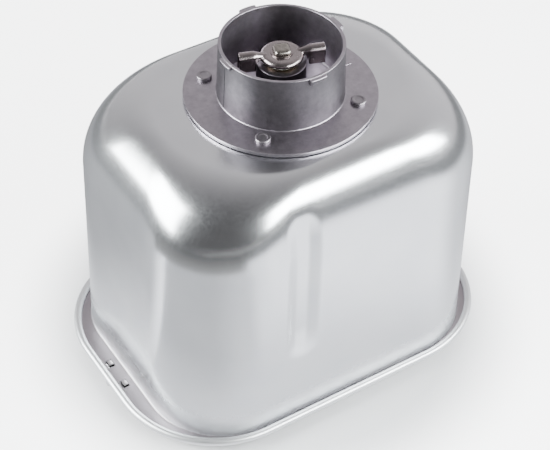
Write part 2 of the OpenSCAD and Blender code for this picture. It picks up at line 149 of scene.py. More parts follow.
def apply_modifiers(obj):
    """Turns what the modifiers make into the object's own mesh."""
    graph = bpy.context.evaluated_depsgraph_get()
    mesh = bpy.data.meshes.new_from_object(obj.evaluated_get(graph))
    old = obj.data
    obj.modifiers.clear()
    obj.data = mesh
    bpy.data.meshes.remove(old)


def loft(rings, closed=False, caps=True):
    """Points and faces of a stack of equal rings. closed joins the last ring to the first."""
    n, m = len(rings[0]), len(rings)
    points = np.concatenate(rings)
    faces = []
    for j in range(m if closed else m - 1):
        k = (j + 1) % m
        for i in range(n):
            i2 = (i + 1) % n
            faces.append((j * n + i, j * n + i2, k * n + i2, k * n + i))
    if caps and not closed:
        faces.append(tuple(range(n - 1, -1, -1)))
        faces.append(tuple((m - 1) * n + i for i in range(n)))
    return points, faces


def rounded_path(corners_and_radii, steps=6):
    """A closed 2D path with each corner (x, y, radius) rounded by a curve of that reach."""
    path = []
    count = len(corners_and_radii)
    for i, (x, y, r) in enumerate(corners_and_radii):
        here = np.array([x, y])
        if r <= 0:
            path.append(here)
            continue
        before = np.array(corners_and_radii[i - 1][:2]) - here
        after = np.array(corners_and_radii[(i + 1) % count][:2]) - here
        a = here + before / np.linalg.norm(before) * r
        b = here + after / np.linalg.norm(after) * r
        for t in np.linspace(0, 1, steps + 1):
            path.append((1 - t) ** 2 * a + 2 * t * (1 - t) * here + t * t * b)
    return np.array(path)


def at_angle(path, a):
    """A (radius, height) path stood up at an angle about Z."""
    return np.column_stack([path[:, 0] * math.cos(a), path[:, 0] * math.sin(a), path[:, 1]])


def lathe(path, steps):
    """A closed (radius, height) path turned about Z."""
    turn = np.linspace(0, 2 * math.pi, steps, endpoint=False)
    return loft([at_angle(path, a) for a in turn], closed=True)


def joined(parts):
    """Several (points, faces) as one."""
    points, faces, start = [], [], 0
    for p, f in parts:
        points.append(np.asarray(p))
        faces += [tuple(i + start for i in face) for face in f]
        start += len(p)
    return np.concatenate(points), faces


def turned(part, angle, centre=(0, 0, 0)):
    """A copy of (points, faces) turned about a vertical axis."""
    points, faces = part
    c, s = math.cos(angle), math.sin(angle)
    q = np.asarray(points) - centre
    return np.column_stack([c * q[:, 0] - s * q[:, 1], s * q[:, 0] + c * q[:, 1], q[:, 2]]) + centre, faces


def moved(part, offset):
    """A copy of (points, faces) moved by an offset."""
    return np.asarray(part[0]) + np.array(offset), part[1]


def mirrored(part, side):
    """A copy of (points, faces) on the given side, 1 or -1, of the middle along X."""
    return part[0] * np.array([side, 1, 1]), part[1]


def extruded(path, x0, x1):
    """A closed (y, z) path drawn out along X from x0 to x1."""
    return loft([np.column_stack([np.full(len(path), x), path]) for x in (x0, x1)])


def ease(t):
    """A smooth step from 0 to 1."""
    u = np.clip(t, 0, 1)
    return u * u * (3 - 2 * u)


def keep(obj, body, slot, *nodes):
    """Rides a piece on its body and hides the CAD nodes it stands for. Its slot argument, the finish's
    name, is not used.
    """
    if nodes:
        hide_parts(*nodes)
    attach(obj, body)
    return obj


# ---- Materials ----
def mapped(tree, value, start, end, low=0, high=1, smooth=False):
    """Maps a shader value from start..end to low..high, and holds it at both ends."""
    node = tree.nodes.new("ShaderNodeMapRange")
    if smooth:
        node.interpolation_type = "SMOOTHSTEP"
    for name, number in (("From Min", start), ("From Max", end), ("To Min", low), ("To Max", high)):
        node.inputs[name].default_value = number
    tree.links.new(value, node.inputs["Value"])
    return node.outputs["Result"]


def computed(tree, operation, a, b):
    """A node that adds, multiplies or raises value a by b, a number or another value."""
    node = tree.nodes.new("ShaderNodeMath")
    node.operation = operation
    tree.links.new(a, node.inputs[0])
    if isinstance(b, (int, float)):
        node.inputs[1].default_value = b
    else:
        tree.links.new(b, node.inputs[1])
    return node.outputs["Value"]


class Surface:
    """A node material built up from one Principled shader."""

    def __init__(self, name, color, metallic, roughness):
        self.material = bpy.data.materials.new(name)
        self.material.use_nodes = True
        self.tree = self.material.node_tree
        self.nodes, self.links = self.tree.nodes, self.tree.links
        self.shader = self.nodes["Principled BSDF"]
        self.shader.inputs["Base Color"].default_value = (*color, 1)
        self.shader.inputs["Metallic"].default_value = metallic
        self.shader.inputs["Roughness"].default_value = roughness
        self.place = self.nodes.new("ShaderNodeTexCoord").outputs["Object"]
        self.bump = None

    def noise(self, size, stretch=(1, 1, 1), detail=3, roughness=0.5):
        """Noise whose grains are about size millimetres across, stretched along the axes."""
        mapping = self.nodes.new("ShaderNodeMapping")
        mapping.inputs["Scale"].default_value = [1 / s for s in stretch]
        self.links.new(self.place, mapping.inputs["Vector"])
        noise = self.nodes.new("ShaderNodeTexNoise")
        noise.inputs["Scale"].default_value = 1 / (size * MM)
        noise.inputs["Detail"].default_value = detail
        noise.inputs["Roughness"].default_value = roughness
        self.links.new(mapping.outputs["Vector"], noise.inputs["Vector"])
        return noise.outputs["Fac"]

    def height(self):
        """Height above the floor, in metres."""
        split = self.nodes.new("ShaderNodeSeparateXYZ")
        self.links.new(self.place, split.inputs["Vector"])
        return split.outputs["Z"]

    def reach(self):
        """Distance from the foot of the drive axis, in metres."""
        length = self.nodes.new("ShaderNodeVectorMath")
        length.operation = "LENGTH"
        self.links.new(self.place, length.inputs[0])
        return length.outputs["Value"]

    def ramp(self, value, low, high):
        """Maps the middle of a noise to colours or grey levels from low to high."""
        ramp = self.nodes.new("ShaderNodeValToRGB")
        ramp.color_ramp.elements[0].position = 0.3
        ramp.color_ramp.elements[1].position = 0.7
        ramp.color_ramp.elements[0].color = (*low, 1)
        ramp.color_ramp.elements[1].color = (*high, 1)
        self.links.new(value, ramp.inputs["Fac"])
        return ramp.outputs["Color"]

    def vary_color(self, value, low, high):
        """Lets a noise drive the colour."""
        self.links.new(self.ramp(value, low, high), self.shader.inputs["Base Color"])

    def vary_roughness(self, value, low, high):
        """Lets a noise drive the roughness."""
        self.links.new(self.ramp(value, (low,) * 3, (high,) * 3), self.shader.inputs["Roughness"])

    def add_bump(self, value, depth, strength=1.0):
        """Adds a height of depth millimetres to the surface."""
        bump = self.nodes.new("ShaderNodeBump")
        bump.inputs["Distance"].default_value = depth * MM
        bump.inputs["Strength"].default_value = strength
        self.links.new(value, bump.inputs["Height"])
        if self.bump:
            self.links.new(self.bump, bump.inputs["Normal"])
        self.bump = bump.outputs["Normal"]
        self.links.new(self.bump, self.shader.inputs["Normal"])

    def light_up(self, strength, color=(1, 1, 1)):
        """Makes the surface give off light."""
        self.shader.inputs["Emission Color"].default_value = (*color, 1)
        self.links.new(strength, self.shader.inputs["Emission Strength"])


def drawn_aluminium(name, roughness, tint=(1, 1, 1), foot=0):
    """Satin deep-drawn sheet: fine upright drawing lines, a fine grain and faint clouds.

    foot is how much rougher the sheet gets where the wall nears the rim."""
    low = tuple(np.array([0.745, 0.76, 0.785]) * tint)
    high = tuple(np.array([0.80, 0.815, 0.83]) * tint)
    s = Surface(name, high, 1.0, roughness)
    s.vary_color(s.noise(26, detail=4), low, high)
    low_rough, high_rough = (roughness - 0.02,) * 3, (roughness + 0.03,) * 3
    grain = s.ramp(s.noise(3.0, (0.35, 0.35, 9), detail=5), low_rough, high_rough)
    near_rim = mapped(s.tree, s.height(), (RIM_Z + 3) * MM, (RIM_Z + 20) * MM, foot, 0)
    s.links.new(computed(s.tree, "ADD", grain, near_rim), s.shader.inputs["Roughness"])
    s.add_bump(s.noise(0.55, (1, 1, 1), detail=2), 0.006, 0.5)
    s.add_bump(s.noise(0.9, (0.5, 0.5, 14), detail=3), 0.004, 0.5)
    return s.material


def non_stick():
    """Dark sprayed coating inside the pan, with a fine fleck."""
    s = Surface("non_stick", (0.045, 0.045, 0.05), 0.0, 0.38)
    s.vary_color(s.noise(0.7, detail=2, roughness=0.8), (0.03, 0.03, 0.033), (0.075, 0.075, 0.08))
    s.vary_roughness(s.noise(14, detail=4), 0.32, 0.42)
    s.add_bump(s.noise(0.6, detail=3), 0.02, 0.5)
    s.shader.inputs["Coat Weight"].default_value = 0.15
    return s.material


def cast_aluminium(name, tone, roughness):
    """Grey die casting with a grainy skin and uneven tone."""
    tint = np.array([1.0, 0.915, 1.015]) * tone
    s = Surface(name, tuple(tint), 1.0, roughness)
    s.vary_color(s.noise(4.0, detail=6, roughness=0.7), tuple(tint * 0.84), tuple(tint * 1.16))
    s.vary_roughness(s.noise(2.4, detail=4), roughness - 0.04, roughness + 0.04)
    s.add_bump(s.noise(0.45, detail=3, roughness=0.7), 0.022, 0.6)
    s.add_bump(s.noise(3.5, detail=2), 0.04, 0.5)
    return s.material


def polished_steel(name, color, roughness, spread):
    """Bright pressed steel with a light haze and fine marks."""
    s = Surface(name, color, 1.0, roughness)
    low = tuple(c * 0.86 for c in color)
    s.vary_color(s.noise(3.0, detail=5), low, color)
    s.vary_roughness(s.noise(1.3, detail=5), roughness, roughness + spread)
    s.add_bump(s.noise(1.6, detail=3), 0.012, 0.5)
    return s.material


def rubber(name, color):
    """Matte rubber with a fine grain."""
    s = Surface(name, color, 0.0, 0.6)
    s.vary_color(s.noise(1.5, detail=3), tuple(c * 0.8 for c in color), color)
    s.add_bump(s.noise(0.4, detail=2), 0.01, 0.5)
    return s.material


def sintered_bronze():
    """Porous bronze of a sintered bush, its colour darkened nearly to black: painted shade under the
    coupling disc.
    """
    s = Surface("sintered_bronze", (0.26, 0.18, 0.10), 1.0, 0.42)
    s.vary_color(s.noise(0.5, detail=4), (0.07, 0.055, 0.04), (0.12, 0.09, 0.06))
    s.add_bump(s.noise(0.25, detail=3), 0.02, 0.6)
    return s.material


def nylon():
    """Off-white washer plastic."""
    s = Surface("nylon", (0.80, 0.78, 0.72), 0.0, 0.45)
    s.vary_color(s.noise(2.0, detail=3), (0.74, 0.72, 0.66), (0.82, 0.80, 0.75))
    s.add_bump(s.noise(0.6, detail=2), 0.01, 0.4)
    return s.material


def pale_floor():
    """Plain studio floor that gives off light, faded out to none under and close round the part: painted
    shade beside the part.
    """
    s = Surface("pale_floor", (0.86, 0.86, 0.87), 0.0, 0.7)
    s.light_up(mapped(s.tree, s.reach(), 95 * MM, 150 * MM, 0, 4.0, smooth=True))
    s.vary_color(s.noise(300, detail=2), (0.85, 0.85, 0.86), (0.87, 0.87, 0.88))
    return s.material


MAT_SHEET = drawn_aluminium("drawn_aluminium", 0.20, foot=0.24)
# The bead is the wall's own sheet with its colour raised by a tint of 1.12: painted light on the rolled
# bead, which is also rougher.
MAT_RIM_LIT = drawn_aluminium("rim_painted_light", 0.40, (1.12, 1.11, 1.10))
# The flange is the wall's own sheet at about half its brightness, a tint of 0.5: painted shade round the
# rim.
MAT_FLANGE_SHADE = drawn_aluminium("flange_painted_shade", 0.36, (0.50, 0.445, 0.465))
MAT_COAT = non_stick()
MAT_CAST = cast_aluminium("cast_aluminium", 0.39, 0.34)
# Copies of the one casting in other tones, picked by face direction: the collar's outside darkened to 0.11,
# painted shade, and its inside at 0.32, painted light against that shade.
MAT_CAST_WALL_SHADE = cast_aluminium("cast_wall_painted_shade", 0.11, 0.50)
MAT_CAST_INSIDE_LIT = cast_aluminium("cast_inside_painted_light", 0.32, 0.36)
MAT_RIVET = polished_steel("rivet_aluminium", (0.34, 0.315, 0.34), 0.34, 0.10)
MAT_COUPLING = polished_steel("pressed_steel", (0.37, 0.325, 0.325), 0.20, 0.08)
MAT_SHAFT = polished_steel("shaft_steel", (0.34, 0.315, 0.285), 0.22, 0.10)
MAT_WIRE = polished_steel("drawn_wire", (0.70, 0.70, 0.71), 0.18, 0.12)
# Near-black casting for the parting-line rib: painted shade along the seam.
MAT_SEAM_SHADE = cast_aluminium("seam_painted_shade", 0.015, 0.6)
# Near-black steel for the tabs' sides: painted shade in the slots round the tabs.
MAT_TAB_SIDE_SHADE = polished_steel("tab_side_painted_shade", (0.03, 0.025, 0.027), 0.5, 0.1)
MAT_BRACKET = polished_steel("bracket_steel", (0.62, 0.58, 0.59), 0.30, 0.12)
MAT_GASKET = rubber("gasket_rubber", (0.025, 0.025, 0.027))
MAT_SEAL = rubber("seal_rubber", (0.30, 0.05, 0.03))
MAT_BRONZE = sintered_bronze()
MAT_NYLON = nylon()


# ---- Pan shell ----
CORNER_STEPS = 20
LONG_STEPS = 110
SHORT_STEPS = 22


def outline(hx, hy, r):
    """A ring of points round a rounded oblong."""
    ring = []
    for k, (sx, sy) in enumerate([(1, 1), (-1, 1), (-1, -1), (1, -1)]):
        cx, cy = sx * (hx - r), sy * (hy - r)
        for a in np.linspace(k * math.pi / 2, (k + 1) * math.pi / 2, CORNER_STEPS + 1):
            ring.append((cx + r * math.cos(a), cy + r * math.sin(a)))
        steps = LONG_STEPS if k % 2 == 0 else SHORT_STEPS
        end = [(-sx * (hx - r), sy * hy), (sx * hx, -sy * (hy - r))][k % 2]
        start = np.array(ring[-1])
        for t in np.linspace(0, 1, steps + 1)[1:-1]:
            ring.append(tuple(start + (np.array(end) - start) * t))
    return np.array(ring)


def soft_ramp(t, fillet):
    """A straight slope from 0 to 1 whose two bends are rounded over the given share."""
    return (np.logaddexp(0, t / fillet) - np.logaddexp(0, (t - 1) / fillet)) * fillet


def groove(ring, z):
    """How deep the two grooves press into the wall at each point of a ring."""
    half = GROOVE_W / 2
    below = max(0, RIM_Z + GROOVE_LOW + half - z)
    inside = half - np.hypot(np.abs(ring[:, 0]) - GROOVE_X, below)
    near = soft_ramp(inside / GROOVE_SIDE, 0.05) * (ring[:, 0] * ring[:, 1] > 0)
    high = ease((BASE_Z - EDGE_Z * 0.25 - z) / (EDGE_Z * 0.5))
    low = 0.3 + 0.7 * ease((z - RIM_Z - GROOVE_LOW) / (2 * half))
    return GROOVE_DEPTH * near * low * high


def level(hx, hy, r, z):
    """One level of the wall with its grooves."""
    ring = outline(hx, hy, r)
    y = ring[:, 1] - np.sign(ring[:, 1]) * groove(ring, z)
    return np.column_stack([ring[:, 0], y, np.full(len(ring), z)])


def wall_level(z, t):
    """The wall at height z, moved in by t."""
    lean = DRAFT * (z - RIM_Z) / PAN_H
    r = CORNER_R + (CORNER_R_TOP - CORNER_R) * (z - RIM_Z) / (PAN_H - EDGE_Z)
    return level(WALL_X - lean - t, WALL_Y - lean - t, r - t, z)


def edge_level(a, t):
    """The base rounding at angle a, moved in by t."""
    k = 1 - math.cos(a)
    z = BASE_Z - EDGE_Z + (EDGE_Z - t) * math.sin(a)
    lean = DRAFT * (z - RIM_Z) / PAN_H
    return level(WALL_X - lean - t - (EDGE_X - t) * k, WALL_Y - lean - t - (EDGE_Y - t) * k,
                 CORNER_R_TOP - t + (FLOOR_R - CORNER_R_TOP + t) * k, z)


def rim_level(share, z, out):
    """The flange a share of the way from the wall to the middle of the bead, moved out."""
    return level(WALL_X + (BEAD_X - WALL_X) * share + out, WALL_Y + (BEAD_Y - WALL_Y) * share + out,
                 CORNER_R + (RIM_R - BEAD_R - CORNER_R) * share + out, z)


BEND_SHARE = BEND_R / (BEAD_X - WALL_X)


def bend_level(a, z, out):
    """The bend between the wall and a flange face at height z, at angle a."""
    return rim_level(BEND_SHARE * (1 - math.cos(a)), z + BEND_R * (1 - math.sin(a)), out)


def curl_level(r, degrees):
    """The rolled bead at a radius and angle round the rim wire."""
    a = math.radians(degrees)
    return rim_level(1, BEAD_Z + r * math.sin(a), r * math.cos(a))


def shrunk(ring, share):
    """A flat ring drawn in towards its middle."""
    return ring * np.array([share, share, 1])


def pan_rings():
    """Rings from the middle of the base, down the outside, round the bead and up the inside."""
    edge = np.radians(np.linspace(90, 4, 34))
    walls = np.linspace(BASE_Z - EDGE_Z, RIM_Z + BEND_R + SHEET + 0.8, 92)
    bends = np.radians(np.linspace(0, 90, 9))
    outer = [shrunk(edge_level(math.pi / 2, 0), s) for s in (0.26, 0.5, 0.75)]
    outer += [edge_level(a, 0) for a in edge] + [wall_level(z, 0) for z in walls]
    outer += [bend_level(a, RIM_Z + SHEET, 0) for a in bends]
    outer += [rim_level(s, RIM_Z + SHEET, 0) for s in np.linspace(BEND_SHARE, 1, 6)[1:-1]]
    outer += [curl_level(BEAD_R - SHEET, a) for a in np.linspace(-90, 200, 18)]
    outer += [curl_level(BEAD_R, a) for a in np.linspace(200, -90, 30)]
    inner = [rim_level(s, RIM_Z, -SHEET) for s in np.linspace(1, BEND_SHARE, 5)[1:-1]]
    inner += [bend_level(a, RIM_Z, -SHEET) for a in bends[::-1]]
    inner += [wall_level(z, SHEET) for z in walls[::-1]] + [edge_level(a, SHEET) for a in edge[::-1]]
    inner += [shrunk(edge_level(math.pi / 2, SHEET), s) for s in (0.75, 0.5, 0.26)]
    return outer, inner


def box_part(x0, x1, y0, y1, z0, z1):
    """A plain box as (points, faces), for cutting."""
    path = np.array([(y0, z0), (y1, z0), (y1, z1), (y0, z1)])
    return extruded(path, x0, x1)


def slot_boxes(side, z0, z1):
    """Boxes where the two slots of one short side are, for cutting."""
    x = side * SLOT_X
    return [box_part(x - SLOT_WID / 2, x + SLOT_WID / 2, y - SLOT_LEN / 2, y + SLOT_LEN / 2, z0, z1)
            for y in (-SLOT_GAP / 2, SLOT_GAP / 2)]


def cut(obj, part):
    """Takes a closed (points, faces) out of an object."""
    tool = mesh_object("cutter", part[0], part[1], [])
    modifier = obj.modifiers.new("cut", "BOOLEAN")
    modifier.operation = "DIFFERENCE"
    modifier.solver = "EXACT"
    modifier.object = tool
    apply_modifiers(obj)
    bpy.data.objects.remove(tool)


def make_pan():
    """Drawn shell with its rolled rim, slots and dark lining."""
    outer, inner = pan_rings()
    points, faces = loft(outer + inner, closed=True)
    per_ring = len(outer[0])
    rim_start = next(i for i, ring in enumerate(outer) if ring[0][2] < RIM_Z + SHEET + BEND_R * 0.3)
    curl_start = next(i for i, ring in enumerate(outer) if ring[0][0] > BEAD_X - 0.1)
    # Each band of rings starts with the material at the same place in the list
    starts = [0, rim_start, curl_start, len(outer), len(outer) + len(inner) - 1]
    # The flange band takes the sheet's painted-shade copy and the bead its painted-light copy.
    finishes = [MAT_SHEET, MAT_FLANGE_SHADE, MAT_RIM_LIT, MAT_COAT, MAT_SHEET]
    picks = [int(np.searchsorted(starts, f[0] // per_ring, side="right")) - 1 for f in faces]
    pan = mesh_object("drawn_pan", points, faces, finishes, picks, 40)
    cut(pan, joined([box for side in (-1, 1) for box in slot_boxes(side, RIM_Z - 2, RIM_Z + SHEET + 2)]))
    shade(pan, 40)
    return keep(pan, "pan", "pan_aluminium", "pan_shell")


# ---- Cast drive base ----
def collar_r(z):
    """Outside radius of the tapered collar."""
    return COLLAR_R + (COLLAR_TOP_R - COLLAR_R) * (z - FLANGE_Z) / (TOP_Z - FLANGE_Z)


def bayonet_lug():
    """A lug whose lower face ramps along the collar and ends in a stop."""
    half = LUG_LEN / 2 / COLLAR_TOP_R
    rings = []
    for t in np.linspace(0, 1, 13):
        a = -half + 2 * half * t
        out = LUG_OUT * min(1, 0.86 + 3 * min(t, 1 - t))
        low = TOP_Z - LUG_H * (0.55 + 0.45 * ease((0.5 - t) / 0.5))
        high = TOP_Z - 0.15
        path = rounded_path([(COLLAR_TOP_R - 1, low, 0), (COLLAR_TOP_R + out, low, 0.35),
                             (COLLAR_TOP_R + out, high, 0.5), (COLLAR_TOP_R - 1, high, 0)], 4)
        rings.append(at_angle(path, a))
    return loft(rings)


def rib_on_collar(angle, z0, z1, width, out):
    """A thin upright ridge on the collar, such as a mould's parting line."""
    rings = []
    for z in np.linspace(z0, z1, 12):
        r = collar_r(z)
        rings.append(np.array([(r - 0.3, -width, z), (r + out * 0.6, -width / 2, z), (r + out, 0, z),
                               (r + out * 0.6, width / 2, z), (r - 0.3, width, z)]))
    return turned(loft(rings), angle)


def rib_on_flange(angle, r0, r1, width, up):
    """A thin ridge that runs out along the flange."""
    rings = []
    for r in np.linspace(r0, r1, 12):
        h = up * math.sin(math.pi * (r - r0) / (r1 - r0)) ** 0.4 if r0 < r < r1 else 0.01
        foot, crest = FLANGE_Z - 0.2, FLANGE_Z + h
        rings.append(np.array([(r, -width, foot), (r, width, foot),
                               (r, width * 0.4, crest), (r, -width * 0.4, crest)]))
    return turned(loft(rings), angle)


def base_section():
    """Half section of the casting, as (radius, height), from the seal's pocket round by the collar."""
    step, pocket_z = 0.2, SPIGOT_Z + SEAL_H
    return rounded_path([
        (SEAL_POCKET_R, SPIGOT_Z, 0.3), (SPIGOT_R, SPIGOT_Z, 0.3), (SPIGOT_R, SEAT_Z, 0),
        (FLANGE_R - step, SEAT_Z, 0.1), (FLANGE_R - step, SEAT_Z + 0.75, 0.1),
        (FLANGE_R, SEAT_Z + 0.95, 0.1), (FLANGE_R, FLANGE_Z, 0.45),
        (COLLAR_R, FLANGE_Z, 0.8), (COLLAR_TOP_R, TOP_Z, 0.35), (COLLAR_TOP_R - COLLAR_T, TOP_Z, 0.35),
        (COLLAR_R - COLLAR_T, FLANGE_Z, 1.2), (BOSS_R + 0.4, FLANGE_Z, 1.5), (BOSS_R - 0.1, BOSS_TOP, 0.45),
        (BUSH_POCKET_R, BOSS_TOP, 0.2), (BUSH_POCKET_R, pocket_z, 0), (SEAL_POCKET_R, pocket_z, 0)], 5)


def make_base():
    """Flange, collar, boss and spigot of the casting, with lugs and parting marks."""
    parts = [lathe(base_section(), 240)]
    parts += [turned(bayonet_lug(), q * math.pi / 2) for q in range(4)]
    parts.append(rib_on_collar(math.radians(-3), FLANGE_Z + 0.4, TOP_Z - 3.2, 0.25, 0.2))
    parts.append(rib_on_flange(math.radians(-1), COLLAR_R + 0.8, COLLAR_R + 9.5, 0.3, 0.35))
    base = mesh_object("cast_base", *joined(parts), [MAT_CAST, MAT_CAST_WALL_SHADE, MAT_CAST_INSIDE_LIT], sharp=30)
    # Painted light and shade by face direction: upright outer faces get the dark wall tone, upright inner
    # faces the lighter inside tone, flat faces the plain casting.
    for face in base.data.polygons:
        outward = face.normal.x * face.center.x + face.normal.y * face.center.y > 0
        upright = abs(face.normal.z) < 0.3 and face.center.z > (FLANGE_Z + 0.5) * MM
        face.material_index = (1 if outward else 2) if upright else 0
    keep(base, "pan", "cast_aluminium", "drive_base")
    # The rib on the collar's left is coloured near black: painted shade along the parting line.
    seam = rib_on_collar(math.radians(177), FLANGE_Z + 0.4, TOP_Z - 4.5, 0.28, 0.12)
    keep(mesh_object("mould_seam", *seam, [MAT_SEAM_SHADE]), "pan", "cast_aluminium")


# ---- Rivets ----
def make_rivets():
    """Four headed rivets with a shallow dish in each outer head."""
    head, inner, shank = RIVET_HEAD_D / 2, RIVET_INNER_D / 2, RIVET_D / 2
    seat = BASE_Z - SHEET
    top = FLANGE_Z + RIVET_HEAD_H
    path = rounded_path([
        (0.01, RIVET_LOW_Z, 0), (inner, RIVET_LOW_Z, 0.9), (inner, seat, 0.05), (shank, seat, 0),
        (shank, FLANGE_Z, 0),
        (head, FLANGE_Z, 0.05), (head, top, 0.75), (head * 0.66, top, 0.4), (head * 0.5, top - 0.3, 0.3),
        (0.01, top - 0.32, 0)], 6)
    one = moved(lathe(path, 48), (RIVET_PCD / 2, 0, 0))
    rivets = joined([turned(one, math.radians(a)) for a in (45, 135, 225, 315)])
    obj = mesh_object("headed_rivets", *rivets, [MAT_RIVET], sharp=50)
    return keep(obj, "pan", "rivet", "base_rivets")


# ---- Wing coupling ----
def wing_part():
    """One wing along +X: a channel with a round crown that rises out of the disc."""
    deep = WING_TOP - WING_LOW
    up = WING_TOP - DISC_Z
    # Distance from the axis, crown above the disc, half width and depth along the wing
    stations = [(6.6, -0.2, 1.5, 1.2), (7.8, 0.25, 1.75, 1.6), (9.0, 0.6, 1.9, 2.0),
                (10.0, 0.85, 2.0, 2.6), (11.0, 1.1, 2.1, 3.4), (12.0, 1.4, 2.3, 4.4),
                (12.8, 1.7, 2.5, 5.4), (13.0, 1.75, 2.6, deep - 0.5), (13.8, up - 0.05, 2.75, deep),
                (15, up, 2.8, deep), (18, up, 2.8, deep), (WING_SPAN / 2, up, 2.8, deep)]
    rings = []
    for x, rise, half, depth in stations:
        crown = DISC_Z + rise
        inner = half - COUPLING_T
        turn = np.linspace(0, math.pi, 13)
        path = [(half, crown - depth)]
        path += [(half * math.cos(a), crown - half + half * math.sin(a)) for a in turn]
        path += [(-half, crown - depth), (-inner, crown - depth)]
        path += [(inner * math.cos(a), crown - half + inner * math.sin(a)) for a in turn[::-1]]
        path += [(inner, crown - depth)]
        rings.append(np.array([(x, y, z) for y, z in path]))
    return loft(rings)


def remeshed(obj, voxel, smooth):
    """Fuses overlapping shapes into one skin with softened inner corners."""
    remesh = obj.modifiers.new("fuse", "REMESH")
    remesh.mode = "VOXEL"
    remesh.voxel_size = voxel * MM
    soften = obj.modifiers.new("soften", "SMOOTH")
    soften.factor = 0.5
    soften.iterations = smooth
    apply_modifiers(obj)
    obj.data.shade_smooth()


def disc_roll(radius, start, end, steps):
    """Points round the disc's rolled edge at a radius, between two angles in degrees."""
    return [(DISC_R - DISC_ROLL + radius * math.cos(a), DISC_Z - DISC_ROLL + radius * math.sin(a), 0)
            for a in np.radians(np.linspace(start, end, steps))]


def make_coupling():
    """Pressed disc with a rolled edge and two wings."""
    bore = NECK_R + 0.1
    path = rounded_path([(bore, DISC_Z - COUPLING_T, 0), (bore, DISC_Z, 0)]
                        + disc_roll(DISC_ROLL, 90, 0, 10) + disc_roll(DISC_ROLL - COUPLING_T, 0, 90, 8), 2)
    wings = [turned(wing_part(), q * math.pi) for q in (0, 1)]
    part = turned(joined([lathe(path, 96)] + wings), WING_TURN)
    coupling = mesh_object("pressed_coupling", *part, [MAT_COUPLING])
    remeshed(coupling, 0.24, 5)
    return keep(coupling, "drive", "stainless", "wing_coupling")


def make_shaft():
    """Shaft with its clip groove, and the flat on its paddle end."""
    r, low = SHAFT_R, SHAFT_LOW_Z
    cut_r = r - CLIP_CUT
    clip_low, clip_high = CLIP_LOW - CLIP_PLAY, CLIP_HIGH + CLIP_PLAY
    shoulder, end = DISC_Z - COUPLING_T, WASHER_TOP + 0.2
    path = rounded_path([
        (0.01, low, 0), (r, low, 0.6), (r, clip_low, 0.05), (cut_r, clip_low, 0), (cut_r, clip_high, 0),
        (r, clip_high, 0.05), (r, shoulder, 0.2), (NECK_R, shoulder, 0), (NECK_R, end, 0),
        (0.01, end, 0)], 4)
    shaft = mesh_object("turned_shaft", *lathe(path, 64), [MAT_SHAFT])
    cut(shaft, box_part(r - FLAT_DEPTH, r + 4, -8, 8, low - 1, low + FLAT_LEN))
    keep(shaft, "drive", "shaft_steel", "drive_shaft")


def make_tip():
    """The shaft's squared end over the washer, peened a little unevenly."""
    bevel, half = 2.6, 4.15
    # Height, and share of the full square, up to and over the crown
    levels = [(WASHER_TOP + 0.05, 0.93), (WASHER_TOP + 0.35, 1.0), (TIP_Z - 1.5, 1.0),
              (TIP_Z - 0.9, 0.96), (TIP_Z - 0.45, 0.87), (TIP_Z - 0.15, 0.74),
              (TIP_Z, 0.58), (TIP_Z - 0.05, 0.4), (TIP_Z - 0.12, 0.02)]
    square = rounded_path([(half, -half, bevel), (half, half, bevel),
                           (-half, half, bevel), (-half, -half, bevel)], 8)
    rings = []
    for z, share in levels:
        ring = square * share
        uneven = 0.12 * np.sin(ring[:, 0] * 1.9 + 0.7) * np.sin(ring[:, 1] * 1.6 + z)
        rings.append(np.column_stack([ring, z + uneven * (z > TIP_Z - 0.3)]))
    tip = mesh_object("peened_tip", *turned(loft(rings), WING_TURN), [MAT_SHAFT], sharp=50)
    keep(tip, "drive", "shaft_steel")


# ---- Handle ----
def bail_points():
    """Middle line of the wire, from one pivot round under the rim to the other."""
    arm_x = RIM_X - BAIL_INSET - BAIL_R
    elbow, corner, run = BAIL_R + ELBOW_GAP, BAIL_CORNER, BAIL_RUN
    low_z = BAIL_LOW_Z + BAIL_R
    bail_y = RIM_Y - BEAD_R - BAIL_R
    half = [(BAIL_END_X, 0.0), (arm_x + elbow + 2, 0.0)]
    half += [(arm_x + elbow + elbow * math.cos(a), elbow + elbow * math.sin(a))
             for a in np.radians(np.linspace(270, 180, 9))]
    half += [(arm_x, elbow + (run - elbow) * t) for t in np.linspace(0, 1, 9)[1:]]
    half += [(arm_x - corner + corner * math.cos(a), bail_y - corner + corner * math.sin(a))
             for a in np.radians(np.linspace(0, 90, 25))]
    line = np.array(half)
    z = PIVOT_Z - (PIVOT_Z - low_z) * ease((line[:, 1] - elbow) / (run - elbow))
    right = np.column_stack([line, z])
    return np.concatenate([right, (right * (-1, 1, 1))[::-1]])


def tube(points, radius, sides):
    """A round wire along a nearly level line, with softened ends."""
    rings = []
    last = len(points) - 1
    for i, p in enumerate(points):
        d = points[min(i + 1, last)] - points[max(i - 1, 0)]
        across = np.array([d[1], -d[0], 0]) / math.hypot(d[0], d[1])
        upward = np.array([0, 0, 1])
        turn = np.linspace(0, 2 * math.pi, sides, endpoint=False)
        rings.append(np.array([p + radius * (math.cos(a) * across + math.sin(a) * upward) for a in turn]))
    first, end = rings[0], rings[-1]
    ends = []
    for ring, p, q in ((first, points[0], points[1]), (end, points[-1], points[-2])):
        inward = (q - p) / np.linalg.norm(q - p)
        ends.append([p + (ring - p) * 0.72, ring + inward * 0.35])
    rings = [ends[0][0], ends[0][1]] + rings[1:-1] + [ends[1][1], ends[1][0]]
    return loft(rings)


def make_bail():
    """Folding wire handle."""
    bail = mesh_object("wire_handle", *tube(bail_points(), BAIL_R, 28), [MAT_WIRE], sharp=40)
    return keep(bail, "handle", "handle_wire", "handle_bail")


